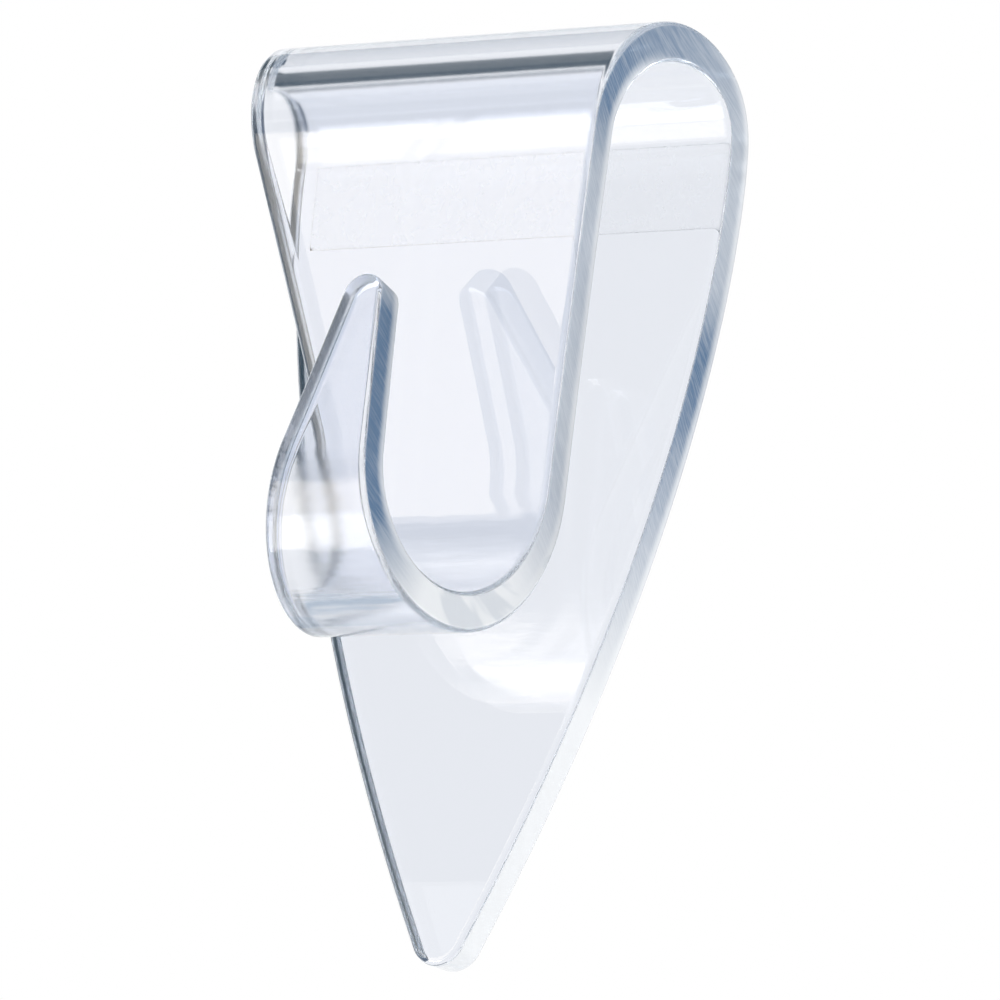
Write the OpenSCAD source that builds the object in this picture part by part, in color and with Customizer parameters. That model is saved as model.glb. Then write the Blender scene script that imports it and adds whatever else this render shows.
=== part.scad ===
// Clear adhesive wall hook: one sheet of clear plastic, cut to a leaf-shaped blank with round edges and
// bent into a wall plate, a top bend, a front leg and an upturned hook, held by a double-sided strip.
// +Z is up, the wall is at +Y and the hook faces -Y. The origin is the centre of the strip's wall face.

/* [Sheet] */
// Thickness of the clear sheet
sheet_t = 2.5; // [1.5:0.1:4]
// Radius of the rounding along every edge of the sheet
edge_r = 0.4; // [0.1:0.05:0.7]

/* [Wall plate] */
// Length of the wall plate, from its lower tip up to the start of the top bend
plate_len = 51; // [42:0.5:75]
// Width that the wall plate swells to at the start of the top bend
plate_w = 32; // [22:0.5:38]
// Radius of the plate's lower tip
tip_r = 2; // [1:0.1:4]
// Angle of each side at the lower tip, from the plate's middle line
tip_angle = 27; // [24:0.5:35]

/* [Top bend and front leg] */
// Inside radius of the top bend
bend_r = 4; // [3:0.1:7]
// Length of the straight front leg, between the top bend and the hook
leg_len = 21.8; // [15:0.1:30]
// Gap between the wall plate and the back of the hook, which sets how far the leg leans to the wall
heel_gap = 1.7; // [1:0.1:4]

/* [Hook] */
// Inside radius of the hook
hook_r = 5.6; // [4:0.1:8]
// Angle that the hook turns through
hook_turn = 210; // [180:1:220]
// Length of the upturned tongue past the hook's curve
tongue_len = 11.5; // [6:0.5:14]
// Radius of the tongue's tip
tongue_r = 1.4; // [1:0.1:2.5]

/* [Side taper] */
// Distance past the start of the top bend at which the sides begin to draw in
taper_start = 3; // [0:0.5:10]
// Length over which the taper eases in
taper_ease = 4; // [1:0.5:10]
// How far the sides bow in from a straight taper, half way down
taper_hollow = 0.75; // [0:0.05:1.5]

/* [Adhesive strip] */
// Height of the strip
strip_h = 5.4; // [4:0.2:20]
// Distance that the strip's ends stay inside the plate's flat face
strip_inset = 0.2; // [0:0.1:5]
// Distance that the strip's top edge runs past the start of the top bend
strip_lift = 0.6; // [0:0.1:1]
// Thickness of each layer of adhesive
glue_t = 0.15; // [0.05:0.05:0.5]
// Thickness of the carrier film between the two layers of adhesive
film_t = 0.5; // [0.1:0.1:2]

/* [Hidden] */

// Facets in each edge rounding and in each quarter of a tip
edge_steps = 3;
tip_steps = 6;
// Rings along the plate, the front leg and the tongue, and degrees between two rings of a bend
plate_steps = 14;
leg_steps = 6;
tongue_steps = 5;
ring_angle = 7;
// Step over which the slope of the sides is measured
slope_step = 0.01;

// Places of the sheet, behind the strip's wall face and about its middle
strip_t = 2 * glue_t + film_t;
plate_y = -strip_t - sheet_t / 2;
bend_z = strip_h / 2 - strip_lift;

// Radii of the sheet's middle line
bend_mid_r = bend_r + sheet_t / 2;
hook_mid_r = hook_r + sheet_t / 2;

// Lean of the front leg at which the hook's back stands heel_gap off the wall plate
heel_reach = heel_gap + hook_mid_r + sheet_t - bend_mid_r;
leg_lean = acos(heel_reach / norm([bend_mid_r + hook_mid_r, leg_len])) - atan2(leg_len, bend_mid_r + hook_mid_r);
bend_turn = 180 + leg_lean;

// Distances along the flat blank, from the plate's tip to the tongue's tip
function arc_len(r, angle) = r * angle * PI / 180;
function arc_angle(r, length) = length / r * 180 / PI;
bend_end = plate_len + arc_len(bend_mid_r, bend_turn);
leg_end = bend_end + leg_len;
hook_end = leg_end + arc_len(hook_mid_r, hook_turn);
blank_len = hook_end + tongue_len;

// Middle line of the bent sheet: a place is [y, z, heading]
function ahead(p, length) = [p[0] + length * cos(p[2]), p[1] + length * sin(p[2]), p[2]];
function round_bend(p, r, turn) =
    let (a = p[2] + turn, side = sign(turn) * r)
    [p[0] + side * (sin(a) - sin(p[2])), p[1] + side * (cos(p[2]) - cos(a)), a];
plate_start = [plate_y, bend_z - plate_len, 90];
bend_start = ahead(plate_start, plate_len);
leg_start = round_bend(bend_start, bend_mid_r, bend_turn);
hook_start = ahead(leg_start, leg_len);
tongue_start = round_bend(hook_start, hook_mid_r, -hook_turn);
function middle(s) =
    s < plate_len ? ahead(plate_start, s)
    : s < bend_end ? round_bend(bend_start, bend_mid_r, arc_angle(bend_mid_r, s - plate_len))
    : s < leg_end ? ahead(leg_start, s - bend_end)
    : s < hook_end ? round_bend(hook_start, hook_mid_r, -arc_angle(hook_mid_r, s - leg_end))
    : ahead(tongue_start, s - hook_end);

// Point of the bent sheet that lies at x across the blank, s along it and v off its middle, to the outside
function bent(x, s, v) =
    let (p = middle(s))
    [x, p[0] + v * sin(p[2]), p[1] - v * cos(p[2])];

// Sides of the plate: a power curve, tangent to the tip's arc and upright at the top bend
half_w = plate_w / 2;
flank_start = tip_r * (1 - sin(tip_angle));
flank_start_w = tip_r * cos(tip_angle);
flank_power = tan(tip_angle) * (plate_len - flank_start) / (half_w - flank_start_w);
function flank(s) =
    half_w - (half_w - flank_start_w) * pow(max(plate_len - s, 0) / (plate_len - flank_start), flank_power);

// Sides of the leg and hook: the line from the taper's start that touches the tongue's round tip
taper_s = plate_len + taper_start;
taper_run = blank_len - tongue_r - taper_s;
taper_angle = atan2(half_w, taper_run) - asin(tongue_r / norm([half_w, taper_run]));
taper_end = blank_len - tongue_r * (1 - sin(taper_angle));
function taper(s) =
    let (d = s - taper_s, share = min(max(d / (taper_end - taper_s), 0), 1))
    tan(taper_angle) * (d + norm([d, taper_ease])) / 2 + 4 * taper_hollow * share * (1 - share);

// Half width of the flat blank between its two round tips
function half_width(s) = flank(s) - taper(s);

// Stations along one side of the blank: [x, s] and the outward normal there
function tip_station(a) = [tip_r * sin(a), tip_r * (1 - cos(a)), sin(a), -cos(a)];
function tongue_station(a) = [tongue_r * cos(a), blank_len - tongue_r * (1 - sin(a)), cos(a), sin(a)];
function side_station(s) =
    let (slope = (half_width(s + slope_step) - half_width(s - slope_step)) / (2 * slope_step))
    [half_width(s), s, 1 / norm([1, slope]), -slope / norm([1, slope])];
function split(from, to, count) = [for (i = [1:count]) from + (to - from) * i / count];
function bend_rings(turn) = ceil(turn / ring_angle);
side_places = concat(
    split(flank_start, plate_len, plate_steps),
    split(plate_len, bend_end, bend_rings(bend_turn)),
    split(bend_end, leg_end, leg_steps),
    split(leg_end, hook_end, bend_rings(hook_turn)),
    [for (i = [1:tongue_steps - 1]) hook_end + (taper_end - hook_end) * i / tongue_steps]
);
stations = concat(
    [for (i = [1:tip_steps]) tip_station((90 - tip_angle) * i / tip_steps)],
    [for (s = side_places) side_station(s)],
    [for (i = [0:tip_steps - 1]) tongue_station(taper_angle + (90 - taper_angle) * i / tip_steps)]
);

// Layers through the sheet, from its outside to its inside: [offset from the middle, inset from the side]
edge_turns = [for (i = [0:edge_steps]) 90 * i / edge_steps];
edge_mid = sheet_t / 2 - edge_r;
layers = concat(
    [for (a = edge_turns) [edge_mid + edge_r * cos(a), edge_r * (1 - sin(a))]],
    [for (a = edge_turns) [-edge_mid - edge_r * sin(a), edge_r * (1 - cos(a))]]
);
last_layer = len(layers) - 1;

// Points of the sheet: one row at each tip, and between them a ring at each station
function edge_point(st, layer, side) =
    bent(side * (st[0] - layer[1] * st[2]), st[1] - layer[1] * st[3], layer[0]);
ring_size = 2 * len(layers);
function layer_of(k) = k <= last_layer ? k : ring_size - 1 - k;
sheet_points = concat(
    [for (layer = layers) edge_point(tip_station(0), layer, 1)],
    [for (st = stations) for (k = [0:ring_size - 1]) edge_point(st, layers[layer_of(k)], k <= last_layer ? 1 : -1)],
    [for (layer = layers) edge_point(tongue_station(90), layer, 1)]
);

// Faces between neighbouring rings, where ring 0 and the last ring are the rows at the tips
last_ring = len(stations) + 1;
function point_at(ring, k) =
    ring == 0 ? layer_of(k)
    : len(layers) + (ring - 1) * ring_size + (ring == last_ring ? layer_of(k) : k);
sheet_faces = [
    for (ring = [0:last_ring - 1])
    for (k = [0:ring_size - 1])
    let (
        next = (k + 1) % ring_size,
        a = point_at(ring, k),
        b = point_at(ring, next),
        c = point_at(ring + 1, next),
        d = point_at(ring + 1, k)
    )
    for (face = [[a, b, c], [a, c, d]])
    if (face[0] != face[1] && face[1] != face[2] && face[2] != face[0]) face
];

// The strip is a straight cut, as wide as the plate's flat face at the strip's narrower edge
strip_top_s = plate_len + strip_lift;
strip_side = min(half_width(strip_top_s), half_width(strip_top_s - strip_h)) - edge_r - strip_inset;

module strip_layer(wall_y, thickness) {
    translate([-strip_side, wall_y - thickness, -strip_h / 2])
    cube([2 * strip_side, thickness, strip_h]);
}

module hook_body() {
    color([0.88, 0.91, 0.95, 0.5])
    polyhedron(sheet_points, sheet_faces, convexity = 8);
}

module hook_side_adhesive() {
    color([0.93, 0.94, 0.95, 0.6])
    strip_layer(-glue_t - film_t, glue_t);
}

module carrier_film() {
    color([0.90, 0.92, 0.94, 0.6])
    strip_layer(-glue_t, film_t);
}

module wall_side_adhesive() {
    color([0.93, 0.94, 0.95, 0.6])
    strip_layer(0, glue_t);
}

hook_body();
hook_side_adhesive();
carrier_film();
wall_side_adhesive();
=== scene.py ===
"""Looks of the clear adhesive wall hook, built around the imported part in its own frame, in metres."""
import math

import bpy
import numpy as np
from mathutils import Matrix, Vector


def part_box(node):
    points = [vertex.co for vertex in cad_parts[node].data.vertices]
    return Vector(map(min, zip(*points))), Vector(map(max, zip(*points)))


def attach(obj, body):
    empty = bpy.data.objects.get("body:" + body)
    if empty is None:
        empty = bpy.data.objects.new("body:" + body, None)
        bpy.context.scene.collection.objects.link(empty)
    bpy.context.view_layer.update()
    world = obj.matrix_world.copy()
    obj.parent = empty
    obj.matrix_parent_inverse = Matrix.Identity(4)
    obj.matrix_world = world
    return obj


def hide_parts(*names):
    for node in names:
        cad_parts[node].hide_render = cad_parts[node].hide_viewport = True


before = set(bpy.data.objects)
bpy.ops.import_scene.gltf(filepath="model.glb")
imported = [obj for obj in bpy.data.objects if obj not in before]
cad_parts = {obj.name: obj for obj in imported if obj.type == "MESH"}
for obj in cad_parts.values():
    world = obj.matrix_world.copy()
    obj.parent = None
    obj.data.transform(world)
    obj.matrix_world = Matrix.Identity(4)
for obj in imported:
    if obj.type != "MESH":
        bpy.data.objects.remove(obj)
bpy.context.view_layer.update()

# Sizes of the bent sheet, as in the part's source
MM = 0.001
SHEET_T = 2.5 * MM
EDGE_R = 0.4 * MM
PLATE_LEN = 51.0 * MM
PLATE_W = 32.0 * MM
TIP_R = 2.0 * MM
TIP_ANGLE = math.radians(27.0)
BEND_R = 4.0 * MM
LEG_LEN = 21.8 * MM
HEEL_GAP = 1.7 * MM
HOOK_R = 5.6 * MM
HOOK_TURN = math.radians(210.0)
TONGUE_LEN = 11.5 * MM
TONGUE_R = 1.4 * MM
TAPER_START = 3.0 * MM
TAPER_EASE = 4.0 * MM
TAPER_HOLLOW = 0.75 * MM

# Places taken from the frame: the middle of the wall plate and its lower tip
body_low, body_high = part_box("hook_body")
PLATE_Y = body_high.y - SHEET_T / 2
TIP_Z = body_low.z

# Fineness of the sheet's mesh
EDGE_STEPS = 6
TIP_STEPS = 16
ACROSS_STEPS = 14
FLAT_STEP = 0.7 * MM
BEND_STEP = math.radians(2.0)
SLOPE_STEP = 0.01 * MM
# Distance from an edge's rounding to the extra row of points that keeps the flat beside it flat
EDGE_SUPPORT = 0.08 * MM

# Plastic: its refraction, and the colours of its faces and of its depth
PLASTIC_IOR = 1.49
FACE_COLOUR = (0.848, 0.872, 0.926, 1)
ABSORPTION_COLOUR = (0.5, 0.72, 0.92, 1)
ABSORPTION_DENSITY = 4.0

# Satin of the cut edges: millimetres off the sheet's middle at which it starts to fade, and ends
EDGE_FLAT = 0.92
EDGE_ROUND = 1.08
# Its roughness, and its share where an edge is seen from outside and from inside the plastic
EDGE_ROUGHNESS = 0.12
EDGE_SATIN = 0.95
EDGE_SATIN_INSIDE = 0.2

# Painted shade on the cut edges, which stands in for the light trapped in the sheet: their own pale colour,
# the dark colour of the shade, and how dark they are by millimetres along the sheet from the plate's tip
EDGE_PALE = (0.95, 0.975, 1.0, 1)
EDGE_SHADE_COLOUR = (0.14, 0.23, 0.37, 1)
EDGE_SHADE_STOPS = {
    # Wall plate
    0: 0.0,
    16: 0.0,
    34: 0.95,
    38: 0.95,
    42: 0.5,
    50: 0.45,
    # Top bend and leg
    67: 0.95,
    71: 0.5,
    92: 0.45,
    # Hook and tongue
    98: 0.0,
    106: 0.0,
    112: 1.0,
    125: 1.0,
    127: 0.4,
}
# Millimetres off the sheet's middle, towards the wall, over which the painted shade on the cut edges falls
# to a share of itself
WALL_FADE = (0.1, 0.9)
WALL_SHADE_SHARE = 0.25

# Values of a noise that its patterns are eased between
NOISE_RANGE = (0.3, 0.7)

# Fine streaks on the cut edges: tilt, size and depth, and the shares of the painted shade and the roughness
# on their two sides
STREAK_TILT = math.radians(-38.0)
STREAK_SIZE = (6.0 * MM, 2.0 * MM, 0.09 * MM)
STREAK_DEPTH = 0.002 * MM
STREAK_SHADE = (1.15, 0.85)
STREAK_ROUGHNESS = (0.5 * EDGE_ROUGHNESS, 1.5 * EDGE_ROUGHNESS)

# Slanted bands of painted shade on the hook's cut edges: size in millimetres, values of their noise, and
# how dark they are
BAND_SIZE = (8.0, 1.3, 6.0)
BAND_RANGE = (0.52, 0.66)
BAND_SHADE = 0.2

# Ripples that heating leaves in the hook: millimetres across, along and through the sheet, and depth
RIPPLE_SIZE = (5.0, 0.8, 8.0)
RIPPLE_DEPTH = 0.03 * MM

# Roughness of the bends, and millimetres from a bend's start and end over which its marks come and go
HOOK_HAZE = 0.14
TOP_HAZE = 0.09
HOOK_COMES = (-1, 4)
HOOK_GOES = (-3, 2)
TOP_COMES = (2, 6)
TOP_GOES = (-1, 3)

# Scuffs all over the sheet: number to a millimetre, values of their noise, and roughness
SCUFF_SCALE = 1.3
SCUFF_RANGE = (0.45, 0.8)
SCUFF_ROUGHNESS = 0.03

# Adhesive strip: gap left on each face of a layer, waviness of the cut edges, and fineness of the mesh
STRIP_GAP = 0.012 * MM
GLUE_WAVE = 0.10 * MM
FILM_WAVE = 0.02 * MM
STRIP_STEP = 0.35 * MM
STRIP_EDGE_STEPS = 4
# Waves of a cut edge: share of its waviness, radians to a millimetre, and share of its phase
EDGE_WAVES = ((0.5, 2.3, 1.0), (0.3, 5.9, 2.1), (0.2, 13.7, 0.7))

# Looks of the strip: refraction and roughness of a layer, its grain, and its rough and smooth patches
GLUE_LOOK = (1.04, 0.10)
FILM_LOOK = (1.15, 0.26)
GRAIN_SCALE = 6000.0
GRAIN_DEPTH = 0.01 * MM
PATCH_SCALE = 700.0
PATCH_SHARES = (0.7, 1.3)

# Camera, as fitted to the photograph
VIEW_AZIMUTH = math.radians(33.32)
VIEW_ELEVATION = math.radians(-11.95)
VIEW_ROLL = math.radians(5.53)
VIEW_DISTANCE = 0.55
VIEW_TARGET = Vector((0.731, -2.05, -19.514)) * MM
FOCAL_SHARE = 8.917
SENSOR = 36.0
CLIP_START = 0.01

# Floor and light
WHITE = (1, 1, 1)
FLOOR_Z = -0.5
FLOOR_SIZE = 12.0
FLOOR_COLOUR = (0.92, 0.92, 0.93, 1)
FLOOR_MOTTLE = 3.0
FLOOR_ROUGHNESS = (0.55, 0.7)
LIGHT_BOUNCES = 32

# Studio: softboxes and dark flags round the hook, which run along X
# Angles about X, in degrees: 0 is straight behind, 90 above, 180 in front, 270 below
# Ends along X are shares of the studio's radius
STUDIO_R = 0.6
STUDIO_MIDDLE = Vector((0.0, -0.008, -0.018))
# First and last angle, left and right end, brightness, colour
SOFTBOXES = {
    "front_softbox": (173, 202, -0.9, -0.42, 3.7, (1.0, 0.90, 0.76)),
    "low_softbox": (204, 262, -1.0, -0.3, 7.0, (1.0, 0.95, 0.88)),
    "right_softbox": (328, 358, 0.1, 1.0, 1.4, (1.0, 0.99, 0.97)),
    "below_softbox": (245, 295, -0.4, 0.1, 4.0, (1.0, 0.98, 0.95)),
    "top_softbox": (100, 112, -1.0, -0.3, 1.8, (1.0, 0.98, 0.95)),
}
# First and last angle, left and right end, colour
FLAGS = {
    "overhead_flag": (58, 88, -1.2, 0.0, (0.0, 0.04, 0.08)),
    "brow_flag": (147, 158, -0.9, 0.2, (0.10, 0.12, 0.14)),
    "left_brow_flag": (139, 161, -3.0, -0.9, (0.17, 0.23, 0.32)),
    "plate_flag": (161, 171, -0.9, 0.2, (0.26, 0.28, 0.32)),
    "right_flag": (0, 62, 0.02, 2.4, (0.02, 0.05, 0.07)),
    "shoulder_flag": (24, 42, -0.42, 0.0, (0.08, 0.12, 0.18)),
    "floor_flag": (292, 327, -1.2, -0.2, (0.48, 0.58, 0.68)),
}


class BentSheet:
    """The sheet's flat blank and the line that it is bent along, from the plate's tip to the tongue's."""

    def __init__(self):
        self.bend_r = BEND_R + SHEET_T / 2
        self.hook_r = HOOK_R + SHEET_T / 2
        reach = HEEL_GAP + self.hook_r + SHEET_T - self.bend_r
        span = self.bend_r + self.hook_r
        lean = math.acos(reach / math.hypot(span, LEG_LEN)) - math.atan2(LEG_LEN, span)
        self.bend_turn = math.pi + lean
        # Distances along the blank
        self.bend_end = PLATE_LEN + self.bend_r * self.bend_turn
        self.leg_end = self.bend_end + LEG_LEN
        self.hook_end = self.leg_end + self.hook_r * HOOK_TURN
        self.length = self.hook_end + TONGUE_LEN
        # Places on the middle line
        self.plate_start = (PLATE_Y, TIP_Z, math.pi / 2)
        self.bend_start = ahead(self.plate_start, PLATE_LEN)
        self.leg_start = round_bend(self.bend_start, self.bend_r, self.bend_turn)
        self.hook_start = ahead(self.leg_start, LEG_LEN)
        self.tongue_start = round_bend(self.hook_start, self.hook_r, -HOOK_TURN)
        # Sides of the wall plate
        self.half_w = PLATE_W / 2
        self.flank_start = TIP_R * (1 - math.sin(TIP_ANGLE))
        self.flank_start_w = TIP_R * math.cos(TIP_ANGLE)
        self.flank_power = (
            math.tan(TIP_ANGLE) * (PLATE_LEN - self.flank_start) / (self.half_w - self.flank_start_w)
        )
        # Sides of the leg and hook
        self.taper_s = PLATE_LEN + TAPER_START
        run = self.length - TONGUE_R - self.taper_s
        tip_share = TONGUE_R / math.hypot(self.half_w, run)
        self.taper_angle = math.atan2(self.half_w, run) - math.asin(tip_share)
        self.taper_end = self.length - TONGUE_R * (1 - math.sin(self.taper_angle))

    def middle(self, s):
        """Place [y, z, heading] on the sheet's middle line."""
        if s < PLATE_LEN:
            return ahead(self.plate_start, s)
        if s < self.bend_end:
            return round_bend(self.bend_start, self.bend_r, (s - PLATE_LEN) / self.bend_r)
        if s < self.leg_end:
            return ahead(self.leg_start, s - self.bend_end)
        if s < self.hook_end:
            return round_bend(self.hook_start, self.hook_r, -(s - self.leg_end) / self.hook_r)
        return ahead(self.tongue_start, s - self.hook_end)

    def bent(self, x, s, v):
        """Point at x across the blank, s along it and v off its middle, to the outside."""
        y, z, heading = self.middle(s)
        return (x, y + v * math.sin(heading), z - v * math.cos(heading))

    def half_width(self, s):
        """Half the blank's width: a power curve along the plate, less a hollow taper after it."""
        share = max(PLATE_LEN - s, 0) / (PLATE_LEN - self.flank_start)
        flank = self.half_w - (self.half_w - self.flank_start_w) * share**self.flank_power
        d = s - self.taper_s
        along = min(max(d / (self.taper_end - self.taper_s), 0), 1)
        ease = (d + math.hypot(d, TAPER_EASE)) / 2
        return flank - math.tan(self.taper_angle) * ease - 4 * TAPER_HOLLOW * along * (1 - along)

    def side_station(self, s):
        """[x, s] on the right side of the blank and the outward normal there."""
        rise = self.half_width(s + SLOPE_STEP) - self.half_width(s - SLOPE_STEP)
        slope = rise / (2 * SLOPE_STEP)
        long = math.hypot(1, slope)
        return (self.half_width(s), s, 1 / long, -slope / long)

    def tip_station(self, a):
        """The same on the plate's round tip, at an angle from its end."""
        return (TIP_R * math.sin(a), TIP_R * (1 - math.cos(a)), math.sin(a), -math.cos(a))

    def tongue_station(self, a):
        """The same on the tongue's round tip, at an angle from its side."""
        s = self.length - TONGUE_R * (1 - math.sin(a))
        return (TONGUE_R * math.cos(a), s, math.cos(a), math.sin(a))

    def stations(self):
        """Stations along the right side, between the ends of the two tips."""
        tip_turn = math.pi / 2 - TIP_ANGLE
        tongue_turn = math.pi / 2 - self.taper_angle
        tip_angles = [tip_turn * i / TIP_STEPS for i in range(1, TIP_STEPS + 1)]
        tongue_angles = [self.taper_angle + tongue_turn * i / TIP_STEPS for i in range(TIP_STEPS)]
        places = [
            *split(self.flank_start, PLATE_LEN, FLAT_STEP),
            *split(PLATE_LEN, self.bend_end, self.bend_r * BEND_STEP),
            *split(self.bend_end, self.leg_end, FLAT_STEP),
            *split(self.leg_end, self.hook_end, self.hook_r * BEND_STEP),
            *split(self.hook_end, self.taper_end, FLAT_STEP)[:-1],
        ]
        return [
            *[self.tip_station(a) for a in tip_angles],
            *[self.side_station(s) for s in places],
            *[self.tongue_station(a) for a in tongue_angles],
        ]


def ahead(p, length):
    """The place [y, z, heading] reached by going straight on."""
    return (p[0] + length * math.cos(p[2]), p[1] + length * math.sin(p[2]), p[2])


def round_bend(p, r, turn):
    """The place [y, z, heading] reached by going round a bend."""
    a = p[2] + turn
    side = math.copysign(r, turn)
    y = p[0] + side * (math.sin(a) - math.sin(p[2]))
    z = p[1] + side * (math.cos(p[2]) - math.cos(a))
    return (y, z, a)


def split(start, end, step):
    """Even places from the start, which is left out, to the end, at most a step apart."""
    count = math.ceil((end - start) / step)
    return [start + (end - start) * i / count for i in range(1, count + 1)]


def edge_layers():
    """Offsets from the sheet's middle and insets from its side, from the outside to the inside."""
    mid = SHEET_T / 2 - EDGE_R
    turns = [math.pi / 2 * i / EDGE_STEPS for i in range(EDGE_STEPS + 1)]
    outer = [(mid + EDGE_R * math.cos(a), EDGE_R * (1 - math.sin(a))) for a in turns]
    inner = [(-mid - EDGE_R * math.sin(a), EDGE_R * (1 - math.cos(a))) for a in turns]
    support = EDGE_R + EDGE_SUPPORT
    flat = mid - EDGE_SUPPORT
    return [
        (SHEET_T / 2, support),
        *outer,
        (flat, 0.0),
        (-flat, 0.0),
        *inner,
        (-SHEET_T / 2, support),
    ]


def make_mesh(name, points, faces, smooth=True):
    mesh = bpy.data.meshes.new(name)
    mesh.from_pydata(points, [], faces)
    mesh.validate()
    mesh.update()
    mesh.polygons.foreach_set("use_smooth", [smooth] * len(mesh.polygons))
    piece = bpy.data.objects.new(name, mesh)
    bpy.context.scene.collection.objects.link(piece)
    return piece


def make_hook():
    """The bent sheet with rounded edges.

    Two attributes hold each point's place on the flat blank, across, along and off its middle, and how
    far it lies off the middle towards the wall, all in millimetres.
    """
    sheet = BentSheet()
    layers = edge_layers()
    points, places, wall_sides = [], [], []

    def add(across, along, v):
        points.append(sheet.bent(across, along, v))
        places.append((across / MM, along / MM, v / MM))
        wall_sides.append(v * math.sin(sheet.middle(along)[2]) / MM)
        return len(points) - 1

    def edge(station, side):
        """Points round one edge of the sheet, from the outside to the inside."""
        x, s, nx, ns = station
        return [add(side * (x - inset * nx), s - inset * ns, v) for v, inset in layers]

    def face(station, v, side):
        """Points across one face of the sheet, between its two edges."""
        x, s, nx, ns = station
        inset = layers[0][1]
        reach = side * (x - inset * nx)
        shares = [1 - 2 * i / ACROSS_STEPS for i in range(1, ACROSS_STEPS)]
        return [add(reach * share, s - inset * ns, v) for share in shares]

    def ring(station):
        right = edge(station, 1)
        inside = face(station, -SHEET_T / 2, 1)
        left = edge(station, -1)[::-1]
        outside = face(station, SHEET_T / 2, -1)
        return right + inside + left + outside

    def tip_row(station):
        """A ring at the end of a tip, closed to a line."""
        row = edge(station, 1)
        across = ACROSS_STEPS - 1
        return row + row[-1:] * across + row[::-1] + row[:1] * across

    rings = [tip_row(sheet.tip_station(0.0))]
    rings += [ring(station) for station in sheet.stations()]
    rings.append(tip_row(sheet.tongue_station(math.pi / 2)))
    piece = make_mesh("clear_hook", points, tube_faces(rings))
    place = piece.data.attributes.new("sheet_place", "FLOAT_VECTOR", "POINT")
    place.data.foreach_set("vector", np.array(places, np.float32).ravel())
    wall_side = piece.data.attributes.new("wall_side", "FLOAT", "POINT")
    wall_side.data.foreach_set("value", wall_sides)
    return piece


def tube_faces(rings):
    """Faces between neighbouring closed rings, without those that a tip closes to a line."""
    faces = []
    for low, high in zip(rings, rings[1:]):
        for k in range(len(low)):
            n = (k + 1) % len(low)
            corners = list(dict.fromkeys((low[k], high[k], high[n], low[n])))
            if len(corners) > 2:
                faces.append(corners)
    return faces


def strip_edge_dip(t, wave, phase):
    """How far a cut edge falls back from its straight line, at t along it, from 0 to wave."""
    ripple = sum(share * math.sin(pace * t + lag * phase) for share, pace, lag in EDGE_WAVES)
    return wave * (0.5 + 0.5 * ripple)


def make_strip_layer(name, node, wave, phase):
    """One layer of the strip: a thin slab in its node's place, with round, slightly uneven cut edges."""
    low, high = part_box(node)
    middle, half = (low + high) / 2, (high - low) / 2
    half_t = half.y - STRIP_GAP
    columns = math.ceil(2 * half.x / STRIP_STEP)
    rows = math.ceil(2 * half.z / STRIP_STEP)
    points, faces = [], []

    def add(u, w, inset, y):
        """A point by its shares of the half width and half height."""
        side_dip = strip_edge_dip(w * half.z / MM, wave, math.copysign(phase, u))
        end_dip = strip_edge_dip(u * half.x / MM, wave, math.copysign(phase + 1, w))
        x = u * (half.x - side_dip - inset)
        z = w * (half.z - end_dip - inset)
        points.append((middle.x + x, middle.y + y, middle.z + z))
        return len(points) - 1

    def share(i, count):
        return 2 * i / count - 1

    def row(w, inset, y):
        return [add(share(j, columns), w, inset, y) for j in range(columns + 1)]

    def cap(inset, y):
        """A grid over one face, and its outline."""
        grid = [row(share(i, rows), inset, y) for i in range(rows + 1)]
        side = [line[-1] for line in grid]
        other = [line[0] for line in grid]
        return grid, grid[0][:-1] + side[:-1] + grid[-1][:0:-1] + other[:0:-1]

    def loop(inset, y):
        """A line round the cut edges."""
        bottom = [add(share(j, columns), -1, inset, y) for j in range(columns)]
        side = [add(1, share(i, rows), inset, y) for i in range(rows)]
        top = [add(share(j, columns), 1, inset, y) for j in range(columns, 0, -1)]
        other = [add(-1, share(i, rows), inset, y) for i in range(rows, 0, -1)]
        return bottom + side + top + other

    front, front_loop = cap(half_t, -half_t)
    back, back_loop = cap(half_t, half_t)
    turns = [math.pi * i / (2 * STRIP_EDGE_STEPS) for i in range(1, 2 * STRIP_EDGE_STEPS)]
    between = [loop(half_t * (1 - math.sin(a)), -half_t * math.cos(a)) for a in turns]
    for grid, flip in ((front, False), (back, True)):
        for near, far in zip(grid, grid[1:]):
            for j in range(columns):
                corners = (near[j], near[j + 1], far[j + 1], far[j])
                faces.append(corners[::-1] if flip else corners)
    faces += tube_faces([front_loop, *between, back_loop])
    return make_mesh(name, points, faces)


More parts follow.
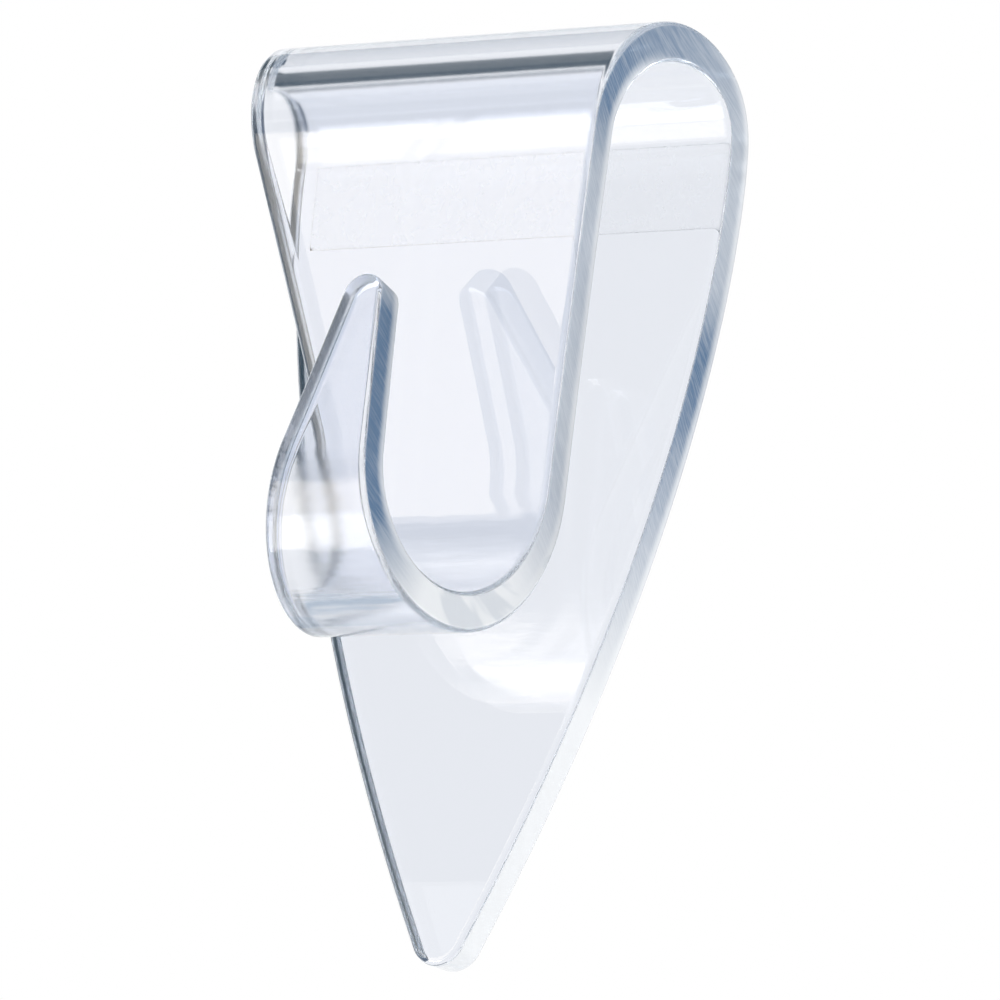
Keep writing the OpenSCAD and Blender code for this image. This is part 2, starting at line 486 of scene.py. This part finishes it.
class Nodes:
    """A node tree in the making, with short calls for the nodes used here."""

    def __init__(self, tree, output="OutputMaterial"):
        self.tree = tree
        self.tree.nodes.clear()
        self.out = self.new(output)

    def new(self, kind):
        return self.tree.nodes.new("ShaderNode" + kind)

    def put(self, value, socket):
        if isinstance(value, bpy.types.NodeSocket):
            self.tree.links.new(value, socket)
        else:
            socket.default_value = value

    def set(self, node, **values):
        for key, value in values.items():
            self.put(value, node.inputs[key.replace("_", " ")])
        return node

    def math(self, operation, *values):
        node = self.new("Math")
        node.operation = operation
        for value, socket in zip(values, node.inputs):
            self.put(value, socket)
        return node.outputs[0]

    def ramp(self, value, low, high, to_low=0.0, to_high=1.0):
        """The value eased from one range to another."""
        node = self.new("MapRange")
        node.interpolation_type = "SMOOTHSTEP"
        self.set(node, Value=value, From_Min=low, From_Max=high, To_Min=to_low, To_Max=to_high)
        return node.outputs["Result"]

    def attribute(self, name, kind="Vector"):
        node = self.new("Attribute")
        node.attribute_name = name
        return node.outputs[kind]

    def geometry(self, key):
        return self.new("NewGeometry").outputs[key]

    def light_path(self, key):
        return self.new("LightPath").outputs[key]

    def parts(self, vector):
        return self.set(self.new("SeparateXYZ"), Vector=vector).outputs

    def stretch(self, vector, size, turn=0.0):
        """The vector in units of a size along each axis, after a turn about X."""
        node = self.new("Mapping")
        node.vector_type = "TEXTURE"
        return self.set(node, Vector=vector, Scale=size, Rotation=(turn, 0, 0)).outputs[0]

    def noise(self, vector, scale=1.0, detail=2.0, roughness=0.5):
        node = self.new("TexNoise")
        self.set(node, Vector=vector, Scale=scale, Detail=detail, Roughness=roughness)
        return node.outputs["Fac"]

    def bump(self, height, depth, normal=None):
        node = self.set(self.new("Bump"), Strength=1.0, Distance=depth, Height=height)
        if normal is not None:
            self.set(node, Normal=normal)
        return node.outputs[0]

    def blend(self, share, first, second):
        """A colour between two."""
        node = self.new("Mix")
        node.data_type = "RGBA"
        self.put(share, node.inputs["Factor"])
        self.put(first, node.inputs[6])
        self.put(second, node.inputs[7])
        return node.outputs[2]

    def stops(self, value, places):
        """A number that changes evenly between places along a length, from 0 to the last place."""
        end = max(places)
        node = self.new("ValToRGB")
        marks = node.color_ramp.elements
        for place, share in places.items():
            if place == 0:
                mark = marks[0]
            elif place == end:
                mark = marks[-1]
            else:
                mark = marks.new(place / end)
            mark.color = (share, share, share, 1)
        self.put(self.math("DIVIDE", value, end), node.inputs[0])
        return node.outputs[0]

    def glow(self, kind, colour, strength):
        return self.set(self.new(kind), Color=(*colour, 1), Strength=strength).outputs[0]

    def mix(self, share, first, second):
        """A shader between two."""
        node = self.new("MixShader")
        self.put(share, node.inputs[0])
        self.put(first, node.inputs[1])
        self.put(second, node.inputs[2])
        return node.outputs[0]


def material_nodes(name):
    material = bpy.data.materials.new(name)
    material.use_nodes = True
    return material, Nodes(material.node_tree)


def stretch_of_sheet(nodes, along, start, comes, end, goes):
    """1 in a stretch of the sheet and 0 outside it, eased over millimetres at its start and end."""
    after_start = nodes.ramp(along, start / MM + comes[0], start / MM + comes[1])
    before_end = nodes.ramp(along, end / MM + goes[0], end / MM + goes[1], 1.0, 0.0)
    return nodes.math("MULTIPLY", after_start, before_end)


def painted_edge_shade(nodes, place, along, streaks, in_hook):
    """Painted shade on the cut edges: how dark they are by place, streaked, paler towards the wall and
    banded in the hook.
    """
    streaked = nodes.ramp(streaks, *NOISE_RANGE, *STREAK_SHADE)
    edge_shade = nodes.math("MULTIPLY", nodes.stops(along, EDGE_SHADE_STOPS), streaked)
    wall_side = nodes.attribute("wall_side", "Fac")
    edge_shade = nodes.math("MULTIPLY", edge_shade, nodes.ramp(wall_side, *WALL_FADE, 1.0, WALL_SHADE_SHARE))
    bands = nodes.noise(nodes.stretch(place, BAND_SIZE, STREAK_TILT))
    bands = nodes.math("MULTIPLY", in_hook, nodes.ramp(bands, *BAND_RANGE, 0.0, BAND_SHADE))
    return nodes.math("MAXIMUM", edge_shade, bands)


def plastic_roughness(nodes, place, side, streaks, in_hook, in_top):
    """Streaked roughness on the cut edges and scuffs all over, or the haze of the bends if that is more."""
    edges = nodes.math("MULTIPLY", side, nodes.ramp(streaks, *NOISE_RANGE, *STREAK_ROUGHNESS))
    scuffs = nodes.noise(place, SCUFF_SCALE, detail=5.0, roughness=0.6)
    scuffs = nodes.ramp(scuffs, *SCUFF_RANGE, 0.0, SCUFF_ROUGHNESS)
    hook_haze = nodes.math("MULTIPLY", in_hook, HOOK_HAZE)
    top_haze = nodes.math("MULTIPLY", in_top, TOP_HAZE)
    haze = nodes.math("ADD", hook_haze, top_haze)
    return nodes.math("MAXIMUM", nodes.math("ADD", edges, scuffs), haze)


def plastic_normal(nodes, place, side, streaks, in_hook):
    """Ripples in the hook, and fine streaks on the cut edges."""
    ripples = nodes.math("MULTIPLY", in_hook, nodes.noise(nodes.stretch(place, RIPPLE_SIZE)))
    rippled = nodes.bump(ripples, RIPPLE_DEPTH)
    return nodes.bump(nodes.math("MULTIPLY", streaks, side), STREAK_DEPTH, rippled)


def clear_plastic():
    """Clear plastic with satin, finely streaked edges that carry painted shade, ripples and haze in the
    bends and a few scuffs.
    """
    material, nodes = material_nodes("hook_clear_plastic")
    sheet = BentSheet()
    place = nodes.attribute("sheet_place")
    along = nodes.parts(place)["Y"]
    off_middle = nodes.math("ABSOLUTE", nodes.parts(place)["Z"])
    side = nodes.ramp(off_middle, EDGE_FLAT, EDGE_ROUND, 1.0, 0.0)
    in_hook = stretch_of_sheet(nodes, along, sheet.leg_end, HOOK_COMES, sheet.hook_end, HOOK_GOES)
    in_top = stretch_of_sheet(nodes, along, PLATE_LEN, TOP_COMES, sheet.bend_end, TOP_GOES)
    grain = nodes.stretch(nodes.geometry("Position"), STREAK_SIZE, STREAK_TILT)
    streaks = nodes.noise(grain, detail=4.0, roughness=0.6)
    # Painted shade on the cut edges, which darkens their satin from pale towards a steel blue
    edge_shade = painted_edge_shade(nodes, place, along, streaks, in_hook)
    satin = nodes.ramp(nodes.geometry("Backfacing"), 0.0, 1.0, EDGE_SATIN, EDGE_SATIN_INSIDE)
    satin = nodes.math("MULTIPLY", side, satin)
    shader = nodes.set(
        nodes.new("BsdfPrincipled"),
        Base_Color=nodes.blend(side, FACE_COLOUR, nodes.blend(edge_shade, EDGE_PALE, EDGE_SHADE_COLOUR)),
        Roughness=plastic_roughness(nodes, place, side, streaks, in_hook, in_top),
        IOR=PLASTIC_IOR,
        Transmission_Weight=nodes.math("SUBTRACT", 1.0, satin),
        Normal=plastic_normal(nodes, place, side, streaks, in_hook),
    )
    depth = nodes.set(
        nodes.new("VolumeAbsorption"),
        Color=ABSORPTION_COLOUR,
        Density=ABSORPTION_DENSITY,
    )
    nodes.set(nodes.out, Surface=shader.outputs[0], Volume=depth.outputs[0])
    return material


def strip_material(name, ior, roughness):
    """Clear film or adhesive with a fine grain that scatters a little light."""
    material, nodes = material_nodes("strip_" + name)
    grain = nodes.noise(nodes.geometry("Position"), GRAIN_SCALE, detail=3.0, roughness=0.6)
    patches = nodes.noise(nodes.geometry("Position"), PATCH_SCALE, detail=3.0, roughness=0.6)
    smooth, rough = [share * roughness for share in PATCH_SHARES]
    shader = nodes.set(
        nodes.new("BsdfPrincipled"),
        Base_Color=(*WHITE, 1),
        Roughness=nodes.ramp(patches, *NOISE_RANGE, smooth, rough),
        IOR=ior,
        Transmission_Weight=1.0,
        Normal=nodes.bump(grain, GRAIN_DEPTH),
    )
    nodes.set(nodes.out, Surface=shader.outputs[0])
    return material


def make_camera():
    data = bpy.data.cameras.new("photo_view")
    data.sensor_width = SENSOR
    data.lens = FOCAL_SHARE * SENSOR
    data.clip_start = CLIP_START
    camera = bpy.data.objects.new("photo_view", data)
    bpy.context.scene.collection.objects.link(camera)
    level = math.cos(VIEW_ELEVATION)
    back = Vector((
        math.sin(VIEW_AZIMUTH) * level,
        -math.cos(VIEW_AZIMUTH) * level,
        math.sin(VIEW_ELEVATION),
    ))
    right = Vector((math.cos(VIEW_AZIMUTH), math.sin(VIEW_AZIMUTH), 0))
    up = back.cross(right)
    turned_right = right * math.cos(VIEW_ROLL) + up * math.sin(VIEW_ROLL)
    turned_up = up * math.cos(VIEW_ROLL) - right * math.sin(VIEW_ROLL)
    place = VIEW_TARGET + back * VIEW_DISTANCE
    turn = Matrix((turned_right, turned_up, back)).transposed().to_4x4()
    camera.matrix_world = Matrix.Translation(place) @ turn
    bpy.context.scene.camera = camera


def make_world():
    world = bpy.data.worlds.new("studio")
    bpy.context.scene.world = world
    world.use_nodes = True
    nodes = Nodes(world.node_tree, "OutputWorld")
    nodes.set(nodes.out, Surface=nodes.glow("Background", WHITE, 1.0))


def rectangle(x, y, z=0.0):
    """Corners of a level rectangle, from its half sizes and its height."""
    return [(-x, -y, z), (x, -y, z), (x, y, z), (-x, y, z)]


def studio_place(start, end, left, right):
    """Place and turn of a card that faces the hook, its length along X, and its width."""
    angle = math.radians((start + end) / 2)
    out = Vector((0, math.cos(angle), math.sin(angle)))
    middle = STUDIO_MIDDLE + STUDIO_R * out
    middle.x = (left + right) / 2 * STUDIO_R
    side = Vector((1, 0, 0))
    turn = Matrix((side, out.cross(side), out)).transposed().to_4x4()
    width = 2 * STUDIO_R * math.tan(math.radians(end - start) / 2)
    return Matrix.Translation(middle) @ turn, (right - left) * STUDIO_R, width


def make_card(name, start, end, left, right):
    """A flat card that the plastic shows and that the camera doesn't see."""
    place, length, width = studio_place(start, end, left, right)
    corners = [place @ Vector(corner) for corner in rectangle(length / 2, width / 2)]
    card = make_mesh(name, corners, [(0, 1, 2, 3)], smooth=False)
    card.visible_camera = False
    card.visible_diffuse = False
    card.visible_shadow = False
    material, nodes = material_nodes(name)
    material.cycles.emission_sampling = "NONE"
    card.data.materials.append(material)
    return nodes


def make_softbox(name, start, end, left, right, brightness, colour):
    """A softbox: bright in a mirror image, plain white where it is seen straight through the plastic."""
    nodes = make_card(name, start, end, left, right)
    mirrored = nodes.math("MINIMUM", nodes.light_path("Glossy Depth"), 1.0)
    plain = nodes.glow("Emission", WHITE, 1.0)
    bright = nodes.glow("Emission", colour, brightness)
    nodes.set(nodes.out, Surface=nodes.mix(mirrored, plain, bright))


def make_flag(name, start, end, left, right, colour):
    """A dark flag."""
    nodes = make_card(name, start, end, left, right)
    nodes.set(nodes.out, Surface=nodes.glow("Emission", colour, 1.0))


def make_floor():
    """A pale floor, which is white where the plastic shows it."""
    corners = rectangle(FLOOR_SIZE / 2, FLOOR_SIZE / 2, FLOOR_Z)
    floor = make_mesh("floor", corners, [(0, 1, 2, 3)], smooth=False)
    material, nodes = material_nodes("pale_floor")
    mottle = nodes.noise(nodes.geometry("Position"), FLOOR_MOTTLE, detail=4.0, roughness=0.6)
    paint = nodes.set(
        nodes.new("BsdfPrincipled"),
        Base_Color=FLOOR_COLOUR,
        Roughness=nodes.ramp(mottle, *NOISE_RANGE, *FLOOR_ROUGHNESS),
    )
    white = nodes.glow("Emission", WHITE, 1.0)
    in_mirror = nodes.light_path("Is Glossy Ray")
    through_glass = nodes.light_path("Is Transmission Ray")
    shown = nodes.math("MAXIMUM", in_mirror, through_glass)
    nodes.set(nodes.out, Surface=nodes.mix(shown, paint.outputs[0], white))
    floor.data.materials.append(material)


for name, values in SOFTBOXES.items():
    make_softbox(name, *values)
for name, values in FLAGS.items():
    make_flag(name, *values)
make_floor()
make_camera()
make_world()

hook = make_hook()
hook.data.materials.append(clear_plastic())
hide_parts("hook_body")
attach(hook, "root")

# Layers of the strip: the node that each stands for, its slot, and its edges' waviness and phase
strip_pieces = {
    "hook_side_glue": ("hook_side_adhesive", "clear_adhesive", GLUE_WAVE, 0.4),
    "strip_film": ("carrier_film", "clear_film", FILM_WAVE, 1.3),
    "wall_side_glue": ("wall_side_adhesive", "clear_adhesive", GLUE_WAVE, 2.2),
}
strip_looks = {
    "clear_adhesive": strip_material("adhesive", *GLUE_LOOK),
    "clear_film": strip_material("film", *FILM_LOOK),
}
for name, (node, slot, wave, phase) in strip_pieces.items():
    layer = make_strip_layer(name, node, wave, phase)
    layer.data.materials.append(strip_looks[slot])
    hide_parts(node)
    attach(layer, "root")

scene = bpy.context.scene
scene.view_settings.view_transform = "Standard"
scene.cycles.use_denoising = True
scene.cycles.max_bounces = LIGHT_BOUNCES
scene.cycles.transmission_bounces = LIGHT_BOUNCES
scene.cycles.glossy_bounces = LIGHT_BOUNCES
